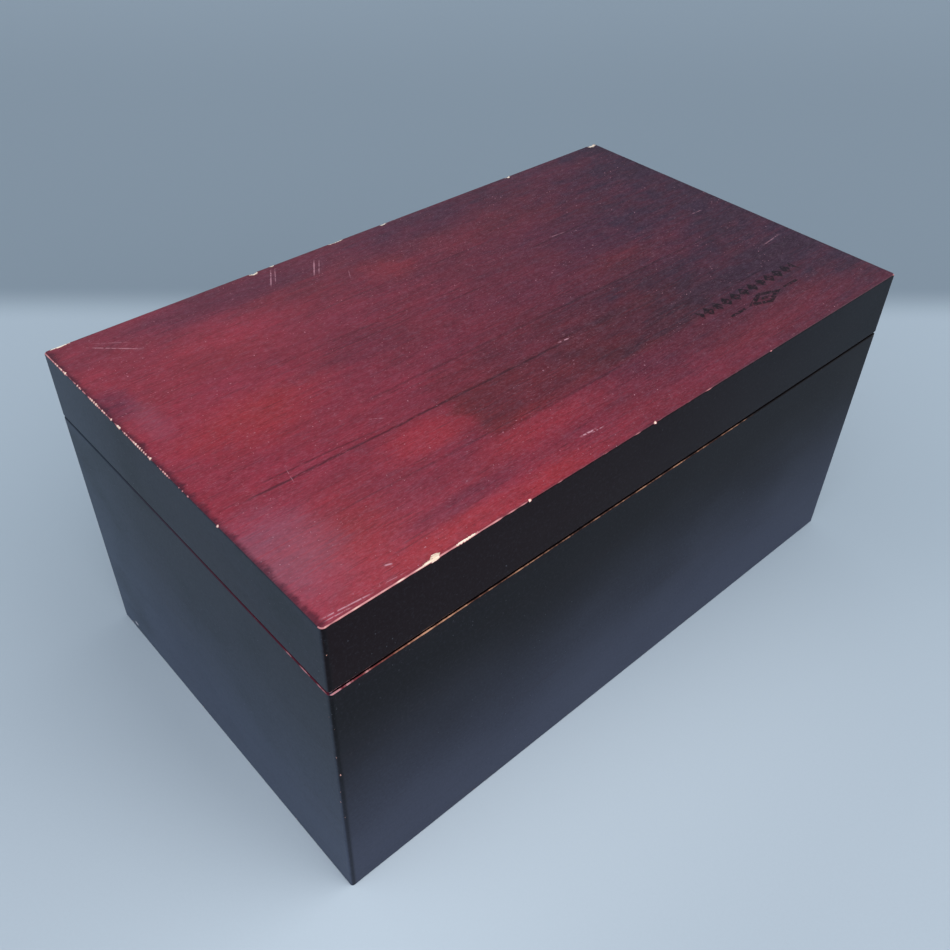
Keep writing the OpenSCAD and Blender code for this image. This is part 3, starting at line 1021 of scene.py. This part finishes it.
def build_felt_sheet(name, node, body, faces_up, seed):
    """A glued sheet with soft cut sides and a slightly uneven face."""
    low, high = node_box(node)
    columns, rows = grid_lines(low.x, high.x), grid_lines(low.y, high.y)
    waves = slow_waves(random.Random(seed), 14, 0.16)
    weight = sum(wave[3] for wave in waves)
    thickness = high.z - low.z
    glued, side = (low.z, 1) if faces_up else (high.z, -1)
    vertices, faces = [], []
    for py in rows:
        for px in columns:
            share = fullness(px, low.x, high.x) * fullness(py, low.y, high.y)
            heights = [w * math.sin(px * fx + py * fy + phase) for fx, fy, phase, w in waves]
            swell = sum(heights) / weight
            level = thickness * share * (0.93 + 0.20 * swell)
            vertices.append((px, py, glued + side * level))
    wide, tall = len(columns), len(rows)
    for r in range(tall - 1):
        for c in range(wide - 1):
            corner = r * wide + c
            faces.append((corner, corner + 1, corner + wide + 1, corner + wide))
    rim = list(range(wide))
    rim += [r * wide + wide - 1 for r in range(1, tall)]
    rim += [(tall - 1) * wide + c for c in range(wide - 2, -1, -1)]
    rim += [r * wide for r in range(tall - 2, 0, -1)]
    first = len(vertices)
    for index in rim:
        vertices.append((vertices[index][0], vertices[index][1], glued))
    for k, index in enumerate(rim):
        following = (k + 1) % len(rim)
        faces.append((first + k, first + following, rim[following], index))
    faces.append(tuple(reversed([first + k for k in range(len(rim))])))
    if not faces_up:
        faces = [tuple(reversed(face)) for face in faces]
    felt_object(name, node, body, vertices, faces)


def build_felt_dots():
    """Two small soft discs glued to the front corners of the rim."""
    low, high = node_box("rim_dots")
    radius = (high.y - low.y) / 2
    thickness = high.z - low.z
    profile = ((1.0, 0.0), (1.0, 0.45), (0.96, 0.75), (0.86, 0.94), (0.68, 1.0), (0.36, 0.98))
    steps = 40
    vertices, faces = [], []
    for cx in (low.x + radius, high.x - radius):
        first = len(vertices)
        for share, level in profile:
            for i in range(steps):
                angle = 2 * math.pi * i / steps
                ruffle = 1 - 0.02 * share * (1 + math.sin(angle * 7 + cx))
                reach = radius * share * ruffle
                vertices.append((
                    cx + reach * math.cos(angle),
                    low.y + radius + reach * math.sin(angle),
                    low.z + thickness * level,
                ))
        for ring in range(len(profile) - 1):
            for i in range(steps):
                j = (i + 1) % steps
                below, above = first + ring * steps, first + (ring + 1) * steps
                faces.append((below + i, below + j, above + j, above + i))
        top_ring = first + (len(profile) - 1) * steps
        faces.append(tuple(top_ring + i for i in range(steps)))
        faces.append(tuple(first + i for i in reversed(range(steps))))
    felt_object("soft_rim_dots", "rim_dots", "base", vertices, faces)


build_felt_sheet("soft_bottom_lining", "bottom_lining", "base", True, 3)
build_felt_sheet("soft_lid_lining", "lid_lining", "lid", False, 5)
build_felt_dots()

# ---- Stage ----

# Lengths here are in metres, but the sensor width and the focal length are in millimetres
FLOOR_HALF = 6.0
FLOOR_TURN = math.radians(3.1)
CAMERA_TURN = math.radians(-43.2)
CAMERA_LIFT = math.radians(41.2)
CAMERA_ROLL = math.radians(1.7)
CAMERA_DISTANCE = 0.45
# What the camera aims at, measured from the middle of the box
CAMERA_AIM = Vector((-0.0141, -0.0053, -0.0049))
SENSOR_WIDTH = 36.0
FOCAL_LENGTH = 37.65


def build_floor():
    """A wide pale sheet, brightest round the box and shaded farther away."""
    mesh = bpy.data.meshes.new("floor")
    signs = ((-1, -1), (1, -1), (1, 1), (-1, 1))
    corners = [(sx * FLOOR_HALF, sy * FLOOR_HALF, 0.0) for sx, sy in signs]
    mesh.from_pydata(corners, [], [(0, 1, 2, 3)])
    floor = bpy.data.objects.new("floor", mesh)
    bpy.context.scene.collection.objects.link(floor)
    turn = CAMERA_TURN + FLOOR_TURN
    floor.rotation_euler.z = turn
    shader = Shader("floor")
    x, y, z = shader.place()
    weave = shader.noise(x * 0.9, y * 0.9, z, detail=4.0, roughness=0.7)
    drift = shader.noise(x * 0.004, y * 0.004, z, detail=2.0)
    near = shader.mix(rgb(179, 188, 196), rgb(185, 194, 202), weave)
    colour = shader.mix(near, rgb(166, 177, 186), (y + (drift - 0.5) * 60.0).rise(-170.0, 60.0))
    # Light that the sides throw back on the floor close to the box, on the camera's side
    box_x = x * math.cos(turn) - y * math.sin(turn)
    box_y = x * math.sin(turn) + y * math.cos(turn)
    out_x = (abs(box_x) - HALF_WIDTH).most(0.0)
    out_y = (abs(box_y) - HALF_DEPTH).most(0.0)
    away = shader.math("SQRT", out_x * out_x + out_y * out_y)
    ahead = box_x.rise(-170.0, -140.0)
    close_by = away.fall(0.0, 130.0)
    lit_side = shader.blend(y.fall(-190.0, -90.0), y.fall(-150.0, 20.0), ahead)
    thrown = close_by * lit_side
    colour = shader.mix(colour, rgb(214, 223, 230), thrown * 0.40)
    far = (y + (weave - 0.5) * 6.0).rise(226.0, 274.0)
    colour = shader.mix(colour, rgb(126, 138, 148), far)
    colour = shader.mix(colour, rgb(132, 144, 154), y.rise(600.0, 1000.0))
    mesh.materials.append(shader.surface(colour, 0.75, weave * 0.04, specular=0.2))


# Broad soft glows of the room: direction, cosines where each starts and is full, and colour
GLOWS = (
    ((0.18, -0.70, 0.66), 0.20, 0.95, (1.46, 1.52, 1.58)),
    ((-1.0, 0.0, 0.45), 0.40, 0.95, (0.68, 0.76, 0.86)),
    ((0.30, 0.95, -0.08), 0.82, 1.00, (0.92, 0.96, 1.02)),
)
ROOM_SHADE = (0.20, 0.235, 0.275, 1.0)


def build_world():
    """Lights the scene by its surroundings alone: an even shade with the glows added to it."""
    world = bpy.data.worlds.new("soft_room")
    bpy.context.scene.world = world
    world.use_nodes = True
    tree = world.node_tree
    tree.nodes.clear()
    coordinates = tree.nodes.new("ShaderNodeTexCoord")
    total = None
    for direction, start, full, colour in GLOWS:
        toward = tree.nodes.new("ShaderNodeVectorMath")
        toward.operation = "DOT_PRODUCT"
        toward.inputs[1].default_value = Vector(direction).normalized()
        tree.links.new(coordinates.outputs["Generated"], toward.inputs[0])
        soft = tree.nodes.new("ShaderNodeMapRange")
        soft.interpolation_type = "SMOOTHSTEP"
        soft.inputs["From Min"].default_value = start
        soft.inputs["From Max"].default_value = full
        tree.links.new(toward.outputs["Value"], soft.inputs["Value"])
        tint = tree.nodes.new("ShaderNodeMix")
        tint.data_type = "RGBA"
        tint.blend_type = "ADD"
        tint.inputs[7].default_value = (*colour, 1.0)
        tree.links.new(soft.outputs["Result"], tint.inputs[0])
        if total is None:
            tint.inputs[6].default_value = ROOM_SHADE
        else:
            tree.links.new(total, tint.inputs[6])
        total = tint.outputs[2]
    background = tree.nodes.new("ShaderNodeBackground")
    output = tree.nodes.new("ShaderNodeOutputWorld")
    tree.links.new(total, background.inputs["Color"])
    tree.links.new(background.outputs["Background"], output.inputs["Surface"])


def build_camera():
    """Looks down at the near left corner from the left front, as the photograph does."""
    aim = (frame_bounds[0] + frame_bounds[1]) / 2 + CAMERA_AIM
    back = Vector((
        math.sin(CAMERA_TURN) * math.cos(CAMERA_LIFT),
        -math.cos(CAMERA_TURN) * math.cos(CAMERA_LIFT),
        math.sin(CAMERA_LIFT),
    ))
    lens = bpy.data.cameras.new("camera")
    lens.sensor_width = SENSOR_WIDTH
    lens.lens = FOCAL_LENGTH
    lens.clip_start = 0.02
    lens.clip_end = 30.0
    camera = bpy.data.objects.new("camera", lens)
    camera.location = aim + back * CAMERA_DISTANCE
    camera.rotation_mode = "QUATERNION"
    level = (-back).to_track_quat("-Z", "Y")
    camera.rotation_quaternion = level @ Quaternion((0.0, 0.0, 1.0), CAMERA_ROLL)
    bpy.context.scene.collection.objects.link(camera)
    bpy.context.scene.camera = camera


build_floor()
build_world()
build_camera()
bpy.context.scene.view_settings.view_transform = "Standard"
